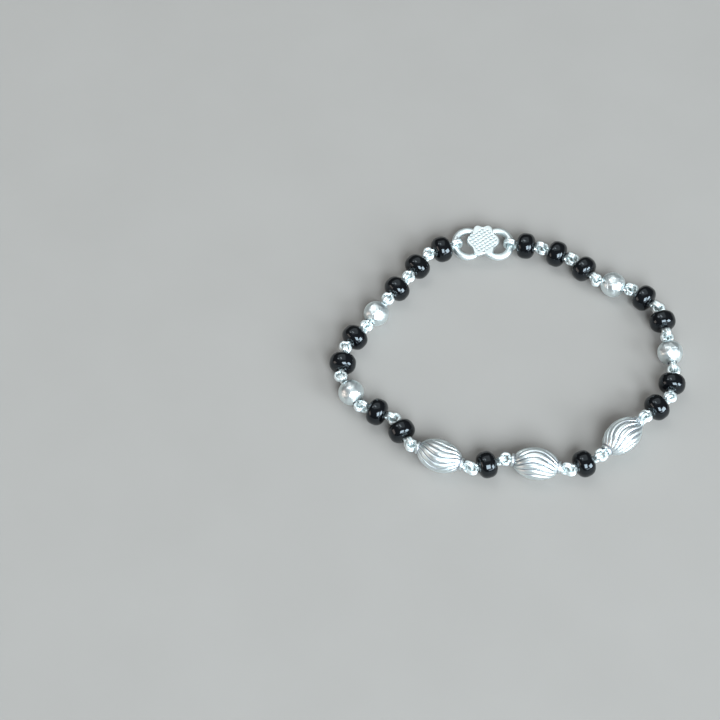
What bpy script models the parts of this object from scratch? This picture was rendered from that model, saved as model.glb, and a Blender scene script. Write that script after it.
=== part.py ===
"""A beaded bracelet that lies on a surface as one closed ring.

Black glass beads, plain silver balls and fluted oval silver beads each turn on a doubled silver
wire. The wire is bent to an eye at both ends, and each eye is hooked through the next one. The
ring is closed by a flat S hook, which carries a six-lobed plate with a field of small pits.
Metres, +Z up. The ring lies round the origin, and the clasp is at +Y, along X.
"""

import math

import bmesh
import bpy
from mathutils import Matrix, Vector

# Black glass bead: a short barrel with rounded shoulders
BLACK_DIAMETER = 0.0042
BLACK_LENGTH = 0.00295
BLACK_FULLNESS = 2.6
BLACK_SIDES = 12
BLACK_RINGS = 6

# Plain silver ball
BALL_DIAMETER = 0.0040
BALL_SIDES = 14
BALL_RINGS = 7

# Fluted oval silver bead, with a plain collar at each end
FLUTED_DIAMETER = 0.00488
FLUTED_LENGTH = 0.00744
COLLAR_DIAMETER = 0.00194
COLLAR_LENGTH = 0.00045
FLUTE_COUNT = 14
FLUTE_DEPTH = 0.00024
FLUTE_BOW = math.radians(-41)
FLUTED_RINGS = 7

# Wire of the links, which runs doubled: two strands side by side make a band. An upright eye is
# taller than a flat one is wide, because it hangs round beads whose lines lie at other heights.
WIRE_DIAMETER = 0.00040
BAND_SECTION = [(1.0, 0.0), (0.5, 0.5), (-0.5, 0.5), (-1.0, 0.0), (-0.5, -0.5), (0.5, -0.5)]
LEG_GAP = 0.00006
LEG_STEPS = 3
FLAT_EYE_OPENING = 0.00132
UPRIGHT_EYE_OPENING = 0.00178
JOINT_GAP = 0.0002

# Bore through every bead, round both legs of the band
BORE_CLEARANCE = 0.0002
BORE_DIAMETER = 2 * (WIRE_DIAMETER + BORE_CLEARANCE) + LEG_GAP

# Room between the mouth of a bead's bore and what its eye is hooked through, when taut
BLACK_NECK = 0.00062
BALL_NECK = 0.00052
FLUTED_NECK = 0.0007
CLASP_NECK = 0.00042

# Half an eye, from the bead's mouth to the tip: share of the length, share of the half width
EYE_SHAPE = [
    (0.06, 0.05),
    (0.22, 0.56),
    (0.36, 0.96),
    (0.72, 1.00),
    (0.91, 0.62),
    (1.00, 0.10),
]

# The same for the longer eyes that go round the clasp's thicker wire
CLASP_EYE_SHAPE = [
    (0.05, 0.05),
    (0.17, 0.52),
    (0.30, 0.98),
    (0.70, 1.00),
    (0.92, 0.60),
    (1.00, 0.06),
]

# Clasp: a flat S hook of round wire
HOOK_WIRE = 0.0011
HOOK_LENGTH = 0.00995
HOOK_WIDTH = 0.0061
HOOK_NECK = 0.00054
HOOK_TURN = math.radians(-152)
HOOK_TIP_SHARE = 0.6
HOOK_TIP_GAP = 0.00014
HOOK_TAPER_STEPS = 3
HOOK_SIDES = 10
HOOK_STEPS = 12

# The taller fluted beads hang a little on their links, which run low in their bores
FLUTED_LINK_DROP = 0.00005

# The hook hangs low in the eyes that hold it
HOOK_PLAY = 0.00026
HOOK_SAG = 0.0001

# Six-lobed plate on the clasp, and the solder seat under it
END_LOBE_REACH = 0.00256
SIDE_LOBE_REACH = 0.00292
END_NOTCH_REACH = 0.0022
SIDE_NOTCH_REACH = 0.0025
END_NOTCH_ANGLE = math.radians(36)
SIDE_LOBE_ANGLE = math.radians(70)
PLATE_POINTS = 48
PLATE_THICKNESS = 0.0006
PLATE_BEVEL = 0.00016
PLATE_CLEARANCE = 0.00012
SEAT_LENGTH = 0.0018
SEAT_WIDTH = 0.0007
SOLDER_DEPTH = 0.00018

# Round field of pits on the plate, on the squares of a slanting hatch
PIT_SPACING = 0.00056
PIT_SIZE = 0.00036
PIT_DEPTH = 0.00016
PIT_FIELD_RADIUS = 0.00214
HATCH_TURN = math.radians(35)

# The ring's route, clockwise from above: each bead with its heading in degrees, the roll in
# degrees of its first and last eye about its own line (0 lies flat, 90 stands on edge), the
# degrees that its line climbs, and the slack in millimetres of the joint after it.
CLASP_HEADING = 0.0
ROUTE = [
    ("black", -11.5, 90, 86, 6, 0.1),
    ("black", -23.4, -4, 82, 0, 0.1),
    ("black", -47.0, -8, 98, 0, 0.1),
    ("ball", -18.1, 8, 84, 0, 0.1),
    ("black", -41.1, -6, 95, 0, 0.0),
    ("black", -80.1, 5, 80, 0, 0.0),
    ("ball", -84.5, -10, 96, 0, 0.0),
    ("black", -101.6, 6, 4, 0, 0.1),
    ("black", -140.8, 94, 12, 0, 0.0),
    ("fluted", -137.5, 102, -6, 0, 0.0),
    ("black", -154.4, 84, 8, 0, 0.0),
    ("fluted", -189.9, 98, -9, 0, 0.0),
    ("black", -163.1, 81, 6, 0, 0.0),
    ("fluted", -202.4, 96, 10, 0, 0.0),
    ("black", -242.0, 100, -5, 0, 0.0),
    ("black", -202.9, 85, 95, 0, 0.1),
    ("ball", -238.1, 5, 82, 0, 0.0),
    ("black", -277.3, -8, 97, 0, 0.1),
    ("black", -310.0, 7, 84, 0, 0.1),
    ("ball", -304.4, -6, 99, 0, 0.0),
    ("black", -309.2, 9, 85, 0, 0.0),
    ("black", -307.6, -5, 94, 0, 0.0),
    ("black", -336.2, 4, 90, -6, 0.0),
]

# The fluted beads whose flutes bow the other way, by their number along the ring
FLUTES_BOWED_OUT = (3,)

MILLIMETRE = 0.001
CLOSING_ROUNDS = 30


def clear_scene():
    for old in list(bpy.data.objects):
        bpy.data.objects.remove(old, do_unlink=True)


def make_material(name, colour, metallic, roughness):
    material = bpy.data.materials.new(name)
    material.use_nodes = True
    shader = material.node_tree.nodes["Principled BSDF"]
    shader.inputs["Base Color"].default_value = (*colour, 1.0)
    shader.inputs["Metallic"].default_value = metallic
    shader.inputs["Roughness"].default_value = roughness
    return material


def finish_mesh(name, work, material, sharp_angle):
    """Turns the faces outward and gives back a smooth-shaded mesh."""
    bmesh.ops.recalc_face_normals(work, faces=work.faces)
    mesh = bpy.data.meshes.new(name)
    work.to_mesh(mesh)
    work.free()
    mesh.materials.append(material)
    mesh.shade_smooth()
    mesh.set_sharp_from_angle(angle=sharp_angle)
    return mesh


def add_object(name, mesh, matrix):
    piece = bpy.data.objects.new(name, mesh)
    piece.matrix_world = matrix
    bpy.context.scene.collection.objects.link(piece)
    return piece


def bridge_rings(work, rings, closed):
    """Joins rings of equally many vertices with quads."""
    last = len(rings) if closed else len(rings) - 1
    for index in range(last):
        ring = rings[index]
        after = rings[(index + 1) % len(rings)]
        for side in range(len(ring)):
            following = (side + 1) % len(ring)
            work.faces.new((ring[side], ring[following], after[following], after[side]))


def black_profile():
    """A full oval whose ends are cut flat at the bore's mouth."""
    mouth_angle = math.asin((BORE_DIAMETER / BLACK_DIAMETER) ** (BLACK_FULLNESS / 2))
    face_share = math.cos(mouth_angle) ** (2 / BLACK_FULLNESS)
    profile = []
    for ring in range(BLACK_RINGS):
        angle = mouth_angle + (math.pi - 2 * mouth_angle) * (ring + 0.6) / (BLACK_RINGS + 0.2)
        lean = math.cos(angle)
        along = math.copysign(abs(lean) ** (2 / BLACK_FULLNESS), -lean) / face_share
        radius = BLACK_DIAMETER / 2 * math.sin(angle) ** (2 / BLACK_FULLNESS)
        profile.append((BLACK_LENGTH / 2 * along, radius))
    return profile


def ball_mouth():
    return math.sqrt((BALL_DIAMETER / 2) ** 2 - (BORE_DIAMETER / 2) ** 2)


def ball_profile():
    mouth_angle = math.atan2(BORE_DIAMETER / 2, ball_mouth())
    profile = []
    for ring in range(1, BALL_RINGS + 1):
        angle = mouth_angle + (math.pi - 2 * mouth_angle) * ring / (BALL_RINGS + 1)
        profile.append((-BALL_DIAMETER / 2 * math.cos(angle), BALL_DIAMETER / 2 * math.sin(angle)))
    return profile


def turned_bead_mesh(name, profile, mouth, sides, material):
    """A bored bead turned about X: the profile runs along the outside, and the bore closes it."""
    bore = BORE_DIAMETER / 2
    work = bmesh.new()
    rings = []
    for along, radius in [(-mouth, bore), *profile, (mouth, bore)]:
        ring = []
        for side in range(sides):
            angle = 2 * math.pi * side / sides
            ring.append(work.verts.new((along, radius * math.sin(angle), radius * math.cos(angle))))
        rings.append(ring)
    bridge_rings(work, rings, closed=True)
    return finish_mesh(name, work, material, math.radians(50))


def fluted_radius(along):
    """Outer radius of the fluted body, which runs into its collars."""
    body_end = FLUTED_LENGTH / 2 - COLLAR_LENGTH
    end_share = COLLAR_DIAMETER / FLUTED_DIAMETER
    full_half_length = body_end / math.sqrt(1 - end_share**2)
    return FLUTED_DIAMETER / 2 * math.sqrt(1 - (along / full_half_length) ** 2)


def fluted_mesh(name, bow, material):
    """An oval bead with ridges that leave one collar, bow round the body and meet the other."""
    body_end = FLUTED_LENGTH / 2 - COLLAR_LENGTH
    sides = 2 * FLUTE_COUNT
    work = bmesh.new()

    def add_ring(along, radius, depth, turn):
        ring = []
        for side in range(sides):
            angle = 2 * math.pi * side / sides + turn
            reach = radius - depth * (side % 2)
            ring.append(work.verts.new((along, reach * math.sin(angle), reach * math.cos(angle))))
        return ring

    rings = [
        add_ring(-FLUTED_LENGTH / 2, BORE_DIAMETER / 2, 0, 0),
        add_ring(-FLUTED_LENGTH / 2, COLLAR_DIAMETER / 2, 0, 0),
        add_ring(-body_end, COLLAR_DIAMETER / 2, 0, 0),
    ]
    for step in range(1, FLUTED_RINGS + 1):
        along = -body_end * math.cos(math.pi * step / (FLUTED_RINGS + 1))
        share = along / body_end
        radius = fluted_radius(along)
        depth = FLUTE_DEPTH * (radius - COLLAR_DIAMETER / 2) / (FLUTED_DIAMETER / 2 - COLLAR_DIAMETER / 2)
        rings.append(add_ring(along, radius, depth, bow * (1 - share**2)))
    rings += [
        add_ring(body_end, COLLAR_DIAMETER / 2, 0, 0),
        add_ring(FLUTED_LENGTH / 2, COLLAR_DIAMETER / 2, 0, 0),
        add_ring(FLUTED_LENGTH / 2, BORE_DIAMETER / 2, 0, 0),
    ]
    bridge_rings(work, rings, closed=True)
    return finish_mesh(name, work, material, math.radians(24))


def mouth_of(kind):
    """Half the distance between the two mouths of a bead's bore."""
    return {"black": BLACK_LENGTH / 2, "ball": ball_mouth(), "fluted": FLUTED_LENGTH / 2}[kind]


def neck_of(kind):
    return {"black": BLACK_NECK, "ball": BALL_NECK, "fluted": FLUTED_NECK}[kind]


def reach_of(kind, at_clasp):
    """From a bead's mouth to the middle of the gap in the taut joint beyond it."""
    if at_clasp:
        return CLASP_NECK + HOOK_WIRE + JOINT_GAP / 2
    return neck_of(kind) + WIRE_DIAMETER + JOINT_GAP / 2


def stands_upright(roll):
    return abs(math.sin(roll)) > 0.5


def eye_half_width(roll, at_clasp):
    """From a link's line to the middle of the wire at the eye's widest place."""
    if at_clasp:
        opening = HOOK_WIRE + 2 * HOOK_PLAY
    elif stands_upright(roll):
        opening = UPRIGHT_EYE_OPENING
    else:
        opening = FLAT_EYE_OPENING
    return (opening + WIRE_DIAMETER) / 2


def crossing(roll, offset):
    """A point at this offset from the link's line, in the direction that the roll gives."""
    return Vector((0, offset * math.cos(roll), offset * math.sin(roll)))


def half_eye(kind, side, roll, at_clasp):
    """Places along and across one leg of an eye, from the bead's mouth to the tip."""
    leg = (WIRE_DIAMETER + LEG_GAP) / 2
    spread = eye_half_width(roll, at_clasp) - leg
    length = reach_of(kind, at_clasp) + (WIRE_DIAMETER + JOINT_GAP) / 2
    shape = CLASP_EYE_SHAPE if at_clasp else EYE_SHAPE
    return [
        (side * (mouth_of(kind) + length * along_share), leg + spread * across_share, roll)
        for along_share, across_share in shape
    ]


def link_path(kind, rolls, at_clasp):
    """Points of the band's middle, with the roll of the plane that it lies in at each point."""
    leg = (WIRE_DIAMETER + LEG_GAP) / 2
    start_roll, end_roll = rolls
    first = half_eye(kind, -1, start_roll, at_clasp[0])
    last = half_eye(kind, 1, end_roll, at_clasp[1])
    inner = []
    for step in range(1, LEG_STEPS):
        share = step / LEG_STEPS
        along = first[0][0] + (last[0][0] - first[0][0]) * share
        inner.append((along, leg, start_roll + (end_roll - start_roll) * share))
    one_leg = [*reversed(first), *inner, *last]
    other_leg = [(along, -across, roll) for along, across, roll in reversed(one_leg)]
    return [
        (Vector((along, 0, 0)) + crossing(roll, across), roll)
        for along, across, roll in one_leg + other_leg
    ]


def link_mesh(name, kind, rolls, at_clasp, material):
    """The doubled wire as one closed band."""
    path = link_path(kind, rolls, at_clasp)
    work = bmesh.new()
    rings = []
    for index, (point, roll) in enumerate(path):
        before = (point - path[index - 1][0]).normalized()
        after = (path[(index + 1) % len(path)][0] - point).normalized()
        tangent = (before + after).normalized()
        plane_normal = crossing(roll + math.pi / 2, 1)
        plane_normal = (plane_normal - tangent * plane_normal.dot(tangent)).normalized()
        in_plane = tangent.cross(plane_normal) / before.dot(tangent)
        ring = []
        for side_share, thickness_share in BAND_SECTION:
            offset = plane_normal * side_share + in_plane * thickness_share
            ring.append(work.verts.new(point + offset * WIRE_DIAMETER))
        rings.append(ring)
    bridge_rings(work, rings, closed=True)
    return finish_mesh(name, work, material, math.radians(75))


def loop_point(angle):
    """A point of the centre line of the S hook's first loop."""
    far_end = (HOOK_LENGTH - HOOK_WIRE) / 2
    centre = (far_end + HOOK_NECK / 2) / 2
    across = (HOOK_WIDTH - HOOK_WIRE) / 2
    return Vector((centre + (far_end - centre) * math.cos(angle), across * math.sin(angle), 0))


def hook_end_angle():
    """Where the loop stops, so that its tip stays clear of the middle of the S."""
    middle = loop_point(HOOK_TURN).normalized()
    needed = HOOK_WIRE / 2 * (1 + HOOK_TIP_SHARE) + HOOK_TIP_GAP
    for degrees in range(165, 60, -1):
        tip = loop_point(math.radians(degrees))
        if tip.cross(middle).length >= needed:
            break
    return math.radians(degrees)


def hook_outline():
    """Centre line of the S hook with the share of the wire's full size at each point."""
    end = hook_end_angle()
    half = []
    for step in range(HOOK_STEPS + 1):
        angle = end + (HOOK_TURN - end) * step / HOOK_STEPS
        taper = min(1.0, HOOK_TIP_SHARE + (1 - HOOK_TIP_SHARE) * step / HOOK_TAPER_STEPS)
        half.append((loop_point(angle), taper))
    mirrored = [(-point, share) for point, share in reversed(half)]
    return [*half, (Vector((0, 0, 0)), 1.0), *mirrored]


def hook_mesh(material):
    path = hook_outline()
    work = bmesh.new()
    rings = []
    for index, (point, share) in enumerate(path):
        before = path[max(index - 1, 0)][0]
        after = path[min(index + 1, len(path) - 1)][0]
        tangent = (after - before).normalized()
        sideways = Vector((0, 0, 1)).cross(tangent)
        ring = []
        for side in range(HOOK_SIDES):
            angle = 2 * math.pi * (side + 0.5) / HOOK_SIDES
            offset = sideways * math.cos(angle) + Vector((0, 0, math.sin(angle)))
            ring.append(work.verts.new(point + offset * HOOK_WIRE / 2 * share))
        rings.append(ring)
    bridge_rings(work, rings, closed=False)
    work.faces.new(rings[0])
    work.faces.new(rings[-1])
    return finish_mesh("clasp", work, material, math.radians(50))


def plate_reach(angle):
    """From the plate's middle to its rim: a quarter of the outline, mirrored to the others."""
    quarter = math.pi / 2 - abs(angle % math.pi - math.pi / 2)
    knots = [
        (0.0, END_LOBE_REACH),
        (END_NOTCH_ANGLE, END_NOTCH_REACH),
        (SIDE_LOBE_ANGLE, SIDE_LOBE_REACH),
        (math.pi / 2, SIDE_NOTCH_REACH),
    ]
    for (start, start_reach), (end, end_reach) in zip(knots, knots[1:]):
        if quarter <= end:
            break
    ease = (1 - math.cos(math.pi * (quarter - start) / (end - start))) / 2
    return start_reach + (end_reach - start_reach) * ease


def plate_mesh(bottom, material):
    """The six-lobed plate with a bevelled rim."""
    work = bmesh.new()
    top = bottom + PLATE_THICKNESS
    rings = []
    for height, inset in ((bottom, 0), (top - PLATE_BEVEL, 0), (top, PLATE_BEVEL)):
        ring = []
        for step in range(PLATE_POINTS):
            angle = 2 * math.pi * step / PLATE_POINTS
            radius = plate_reach(angle) - inset
            ring.append(work.verts.new((radius * math.cos(angle), radius * math.sin(angle), height)))
        rings.append(ring)
    bridge_rings(work, rings, closed=False)
    work.faces.new(rings[0])
    work.faces.new(rings[-1])
    return finish_mesh("clasp plate", work, material, math.radians(30))


def seat_mesh(plate_bottom, material):
    """Solder between the middle of the S and the plate."""
    low = HOOK_WIRE / 2 - SOLDER_DEPTH
    high = plate_bottom + SOLDER_DEPTH
    diagonal = hook_outline()[HOOK_STEPS][0].normalized()
    work = bmesh.new()
    bmesh.ops.create_cube(work, size=1)
    turn = Matrix.Rotation(math.atan2(diagonal.y, diagonal.x), 4, "Z")
    place = Matrix.Translation((0, 0, (low + high) / 2))
    size = Matrix.Diagonal((SEAT_LENGTH, SEAT_WIDTH, high - low, 1))
    work.transform(place @ turn @ size)
    return finish_mesh("clasp seat", work, material, math.radians(30))


def pits_mesh(plate_top, material):
    """Square pyramids, point down, one in each square of the hatch."""
    work = bmesh.new()
    rows = math.ceil(PIT_FIELD_RADIUS / PIT_SPACING)
    rise = PIT_DEPTH / 2
    reach = PIT_SIZE / 2 * (PIT_DEPTH + rise) / PIT_DEPTH
    for row in range(-rows, rows + 1):
        for column in range(-rows, rows + 1):
            middle = Vector((column * PIT_SPACING, row * PIT_SPACING, 0))
            if middle.length > PIT_FIELD_RADIUS:
                continue
            corners = [(reach, reach), (-reach, reach), (-reach, -reach), (reach, -reach)]
            rim = [work.verts.new(middle + Vector((x, y, plate_top + rise))) for x, y in corners]
            point = work.verts.new(middle + Vector((0, 0, plate_top - PIT_DEPTH)))
            work.faces.new(rim)
            for index in range(4):
                work.faces.new((rim[index], point, rim[(index + 1) % 4]))
    work.transform(Matrix.Rotation(HATCH_TURN, 4, "Z"))
    return finish_mesh("clasp pits", work, material, math.radians(30))


def add_boolean(piece, helper, operation):
    modifier = piece.modifiers.new(helper.name, "BOOLEAN")
    modifier.object = helper
    modifier.operation = operation
    modifier.solver = "EXACT"


def build_clasp(matrix, material):
    plate_bottom = HOOK_WIRE / 2 + PLATE_CLEARANCE
    clasp = add_object("clasp", hook_mesh(material), matrix)
    helpers = [
        ("clasp_seat_shape", seat_mesh(plate_bottom, material), "UNION"),
        ("clasp_plate_shape", plate_mesh(plate_bottom, material), "UNION"),
        ("clasp_pit_shapes", pits_mesh(plate_bottom + PLATE_THICKNESS, material), "DIFFERENCE"),
    ]
    for name, mesh, operation in helpers:
        helper = add_object(name, mesh, matrix)
        helper.hide_render = True
        helper.display_type = "WIRE"
        add_boolean(clasp, helper, operation)
    return clasp


def held_by_clasp(index):
    """Whether the first and the last eye of a link go round the clasp."""
    return index == 0, index == len(ROUTE) - 1


def end_offsets(index):
    """From a link's bead centre to the pivots of its first and last joint.

    A joint turns about the tip of its upright eye, and its flat eye takes up the slack.
    """
    kind, _, start_roll, end_roll, _, slack = ROUTE[index]
    offsets = []
    ends = zip((start_roll, end_roll), (ROUTE[index - 1][5], slack), held_by_clasp(index))
    for roll, joint_slack, at_clasp in ends:
        offset = mouth_of(kind) + reach_of(kind, at_clasp)
        if not at_clasp and stands_upright(math.radians(roll)):
            offset += WIRE_DIAMETER / 2
        elif not at_clasp:
            offset -= WIRE_DIAMETER / 2 + joint_slack * MILLIMETRE
        offsets.append(offset)
    return offsets


def clasp_length():
    """Between the two joints at the ends of the S hook."""
    return HOOK_LENGTH - 2 * HOOK_WIRE - JOINT_GAP


def closed_headings():
    """The route's headings, turned slightly so that the last joint meets the first."""
    headings = [math.radians(row[1]) for row in ROUTE]
    lengths = [sum(end_offsets(index)) * math.cos(math.radians(row[4])) for index, row in enumerate(ROUTE)]
    start = clasp_length() * Vector((math.cos(CLASP_HEADING), math.sin(CLASP_HEADING)))
    for _ in range(CLOSING_ROUNDS):
        miss = Vector(start)
        slopes = Matrix(((0, 0), (0, 0)))
        for heading, length in zip(headings, lengths):
            cosine = math.cos(heading)
            sine = math.sin(heading)
            miss += length * Vector((cosine, sine))
            slopes[0][0] -= length * sine * cosine
            slopes[0][1] -= length * sine * sine
            slopes[1][0] += length * cosine * cosine
            slopes[1][1] += length * cosine * sine
        turn = slopes.inverted() @ -miss
        headings = [
            heading + turn[0] * math.cos(heading) + turn[1] * math.sin(heading) for heading in headings
        ]
    return headings


def lowest_point(mesh, turn):
    return min((turn @ vertex.co).z for vertex in mesh.vertices)


def build_ring():
    black = make_material("black glass", (0.006, 0.006, 0.008), 0.0, 0.06)
    silver = make_material("polished silver", (0.90, 0.91, 0.92), 1.0, 0.16)
    wire = make_material("silver wire", (0.86, 0.87, 0.88), 1.0, 0.22)
    hook = make_material("clasp silver", (0.88, 0.89, 0.90), 1.0, 0.20)
    meshes = {
        "black": turned_bead_mesh("black bead", black_profile(), BLACK_LENGTH / 2, BLACK_SIDES, black),
        "ball": turned_bead_mesh("silver ball", ball_profile(), ball_mouth(), BALL_SIDES, silver),
        "fluted": fluted_mesh("fluted bead", FLUTE_BOW, silver),
    }
    bowed_out = fluted_mesh("fluted bead, bowed out", -FLUTE_BOW, silver)
    names = {"black": "black_bead_{:02d}", "ball": "silver_ball_{}", "fluted": "fluted_bead_{}"}
    counts = dict.fromkeys(names, 0)
    joint = clasp_length() / 2 * Vector((math.cos(CLASP_HEADING), math.sin(CLASP_HEADING), 0))
    eye_height = 0.0
    pieces = []
    for index, (row, heading) in enumerate(zip(ROUTE, closed_headings())):
        kind, _, start_roll, end_roll, climb, _ = row
        slope = math.radians(climb)
        turn = Matrix.Rotation(heading, 4, "Z") @ Matrix.Rotation(-slope, 4, "Y")
        first, last = end_offsets(index)
        along = Vector((math.cos(heading), math.sin(heading), 0)) * math.cos(slope)
        centre = joint + along * first
        joint = centre + along * last
        counts[kind] += 1
        mesh = bowed_out if kind == "fluted" and counts[kind] in FLUTES_BOWED_OUT else meshes[kind]
        centre.z = -lowest_point(mesh, turn)
        if index == 0:
            eye_height = centre.z - first * math.sin(slope)
        place = Matrix.Translation(centre) @ turn
        pieces.append(add_object(names[kind].format(counts[kind]), mesh, place))
        rolls = (math.radians(start_roll), math.radians(end_roll))
        name = f"wire_link_{index + 1:02d}"
        drop = FLUTED_LINK_DROP if kind == "fluted" else 0.0
        link = link_mesh(name, kind, rolls, held_by_clasp(index), wire)
        pieces.append(add_object(name, link, Matrix.Translation((0, 0, -drop)) @ place))
    clasp_place = Matrix.Translation((0, 0, eye_height - HOOK_SAG)) @ Matrix.Rotation(CLASP_HEADING, 4, "Z")
    pieces.append(build_clasp(clasp_place, hook))
    return pieces


def centre_on_origin(pieces):
    """Moves everything so that the middle of the whole outline is over the origin."""
    corners = [piece.matrix_world @ vertex.co for piece in pieces for vertex in piece.data.vertices]
    middle_x = (min(corner.x for corner in corners) + max(corner.x for corner in corners)) / 2
    middle_y = (min(corner.y for corner in corners) + max(corner.y for corner in corners)) / 2
    for piece in bpy.context.scene.objects:
        piece.matrix_world = Matrix.Translation((-middle_x, -middle_y, 0)) @ piece.matrix_world


clear_scene()
centre_on_origin(build_ring())
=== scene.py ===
import math

import bmesh
import bpy
import numpy as np
from mathutils import Matrix, Vector, noise


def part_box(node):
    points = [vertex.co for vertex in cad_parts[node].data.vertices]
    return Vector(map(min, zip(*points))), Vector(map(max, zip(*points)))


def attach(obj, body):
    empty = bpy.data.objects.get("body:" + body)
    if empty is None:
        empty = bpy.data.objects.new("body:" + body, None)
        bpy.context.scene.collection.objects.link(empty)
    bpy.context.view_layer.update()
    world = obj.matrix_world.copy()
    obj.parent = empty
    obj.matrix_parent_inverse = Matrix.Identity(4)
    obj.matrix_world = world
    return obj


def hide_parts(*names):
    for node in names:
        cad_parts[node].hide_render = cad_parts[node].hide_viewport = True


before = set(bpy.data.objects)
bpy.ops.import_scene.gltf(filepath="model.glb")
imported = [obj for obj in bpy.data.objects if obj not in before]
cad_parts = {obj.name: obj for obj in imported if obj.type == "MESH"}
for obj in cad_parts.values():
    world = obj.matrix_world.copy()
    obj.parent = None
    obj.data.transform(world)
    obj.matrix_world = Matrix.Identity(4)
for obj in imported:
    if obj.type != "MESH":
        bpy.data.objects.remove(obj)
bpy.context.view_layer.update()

# Black glass beads: short pressed barrels of glossy black glass with rounded shoulders, each
# turning freely on its own wire. The mouths of the bore are slightly worn, and the glass has fine
# scratches.
BLACK_LENGTH = 0.00295
BLACK_BORE = 0.00126
BLACK_FULLNESS = 2.6
BLACK_STEPS = 34
BLACK_SIDES = 72
BLACK_WAVE = 0.000024
BLACK_WAVE_LENGTH = 0.0016
BLACK_SEED_STEP = 7.3
MOUTH_ROUNDING = 0.00007
MOUTH_EDGE_SHARE = 0.3
BLACK_GLASS = (0.0012, 0.0013, 0.0017, 1.0)
SMEARED_GLASS = (0.0030, 0.0034, 0.0042, 1.0)
GLASS_GLEAM = (0.80, 0.92, 1.0, 1.0)
GLASS_ROUGHNESS = (0.015, 0.055)
GLASS_SMEARS = 700.0
GLASS_SMEAR_RANGE = (0.35, 0.75)
GLASS_SMEAR_HEIGHT = 0.000006
GLASS_SCRATCHES = 1500.0
GLASS_SCRATCH_WIDTH = 0.010
GLASS_SCRATCH_ROUGHNESS = 0.10
SCRATCH_TURNS_AND_STRETCHES = [
    ((0.4, 0.9, 0.3), (1.0, 0.07, 0.3)),
    ((1.3, 0.2, 2.1), (0.3, 1.0, 0.05)),
]


def put(tree, kind, feeds=None, **settings):
    """Adds a shader node; feeds gives its inputs numbers, colours or other nodes' sockets."""
    node = tree.nodes.new(kind)
    for name, value in settings.items():
        setattr(node, name, value)
    for name, value in (feeds or {}).items():
        if isinstance(value, bpy.types.NodeSocket):
            tree.links.new(value, node.inputs[name])
        else:
            node.inputs[name].default_value = value
    return node


def rescale(tree, value, old_range, new_range):
    """Maps a value from one range to another, held inside the new one."""
    feeds = {
        "Value": value,
        "From Min": old_range[0],
        "From Max": old_range[1],
        "To Min": new_range[0],
        "To Max": new_range[1],
    }
    return put(tree, "ShaderNodeMapRange", feeds).outputs[0]


def times_plus(tree, value, factor, base):
    """The value times a factor, plus a base."""
    feeds = {0: value, 1: factor, 2: base}
    return put(tree, "ShaderNodeMath", feeds, operation="MULTIPLY_ADD").outputs[0]


def blend(tree, factor, first, second):
    feeds = {"Factor": factor, "A": first, "B": second}
    return put(tree, "ShaderNodeMix", feeds, data_type="RGBA").outputs[2]


def new_group(name, inputs, outputs):
    """A node group with named inputs and outputs, and its two end nodes."""
    group = bpy.data.node_groups.new(name, "ShaderNodeTree")
    for label, kind, value in inputs:
        socket = group.interface.new_socket(label, in_out="INPUT", socket_type=kind)
        socket.default_value = value
    for label, kind in outputs:
        group.interface.new_socket(label, in_out="OUTPUT", socket_type=kind)
    return group, group.nodes.new("NodeGroupInput"), group.nodes.new("NodeGroupOutput")


def hairline_group():
    """Thin crossed scratches: a mask that is 1 on a scratch, at the given number per metre."""
    group, given, result = new_group(
        "hairline scratches",
        [("Per metre", "NodeSocketFloat", 900.0), ("Width", "NodeSocketFloat", 0.02)],
        [("Scratch", "NodeSocketFloat")],
    )
    place = put(group, "ShaderNodeTexCoord").outputs["Object"]
    masks = []
    for turn, stretch in SCRATCH_TURNS_AND_STRETCHES:
        feeds = {"Vector": place, "Rotation": turn, "Scale": stretch}
        turned = put(group, "ShaderNodeMapping", feeds)
        feeds = {"Vector": turned.outputs[0], "Scale": given.outputs["Per metre"], "Detail": 2.0}
        streaks = put(group, "ShaderNodeTexNoise", feeds)
        feeds = {0: streaks.outputs[0], 1: 0.5}
        offset = put(group, "ShaderNodeMath", feeds, operation="SUBTRACT")
        away = put(group, "ShaderNodeMath", {0: offset.outputs[0]}, operation="ABSOLUTE")
        masks.append(rescale(group, away.outputs[0], (0.0, given.outputs["Width"]), (1.0, 0.0)))
    both = put(group, "ShaderNodeMath", {0: masks[0], 1: masks[1]}, operation="MAXIMUM")
    group.links.new(both.outputs[0], result.inputs["Scratch"])
    return group


HAIRLINES = hairline_group()


def black_glass():
    """Glossy black glass, with smears that dull it a little and fine scratches."""
    material = bpy.data.materials.new("black glass")
    material.use_nodes = True
    tree = material.node_tree
    shader = tree.nodes["Principled BSDF"]
    place = put(tree, "ShaderNodeTexCoord").outputs["Object"]
    scratches = put(tree, "ShaderNodeGroup", node_tree=HAIRLINES)
    scratches.inputs["Per metre"].default_value = GLASS_SCRATCHES
    scratches.inputs["Width"].default_value = GLASS_SCRATCH_WIDTH
    feeds = {"Vector": place, "Scale": GLASS_SMEARS, "Detail": 4.0}
    smears = put(tree, "ShaderNodeTexNoise", feeds).outputs[0]
    dull = rescale(tree, smears, GLASS_SMEAR_RANGE, GLASS_ROUGHNESS)
    rough = times_plus(tree, scratches.outputs["Scratch"], GLASS_SCRATCH_ROUGHNESS, dull)
    tint = blend(tree, smears, BLACK_GLASS, SMEARED_GLASS)
    feeds = {"Height": smears, "Distance": GLASS_SMEAR_HEIGHT, "Strength": 0.5}
    bump = put(tree, "ShaderNodeBump", feeds)
    tree.links.new(tint, shader.inputs["Base Color"])
    tree.links.new(rough, shader.inputs["Roughness"])
    tree.links.new(bump.outputs[0], shader.inputs["Normal"])
    shader.inputs["Specular IOR Level"].default_value = 0.50
    shader.inputs["Specular Tint"].default_value = GLASS_GLEAM
    return material


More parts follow.
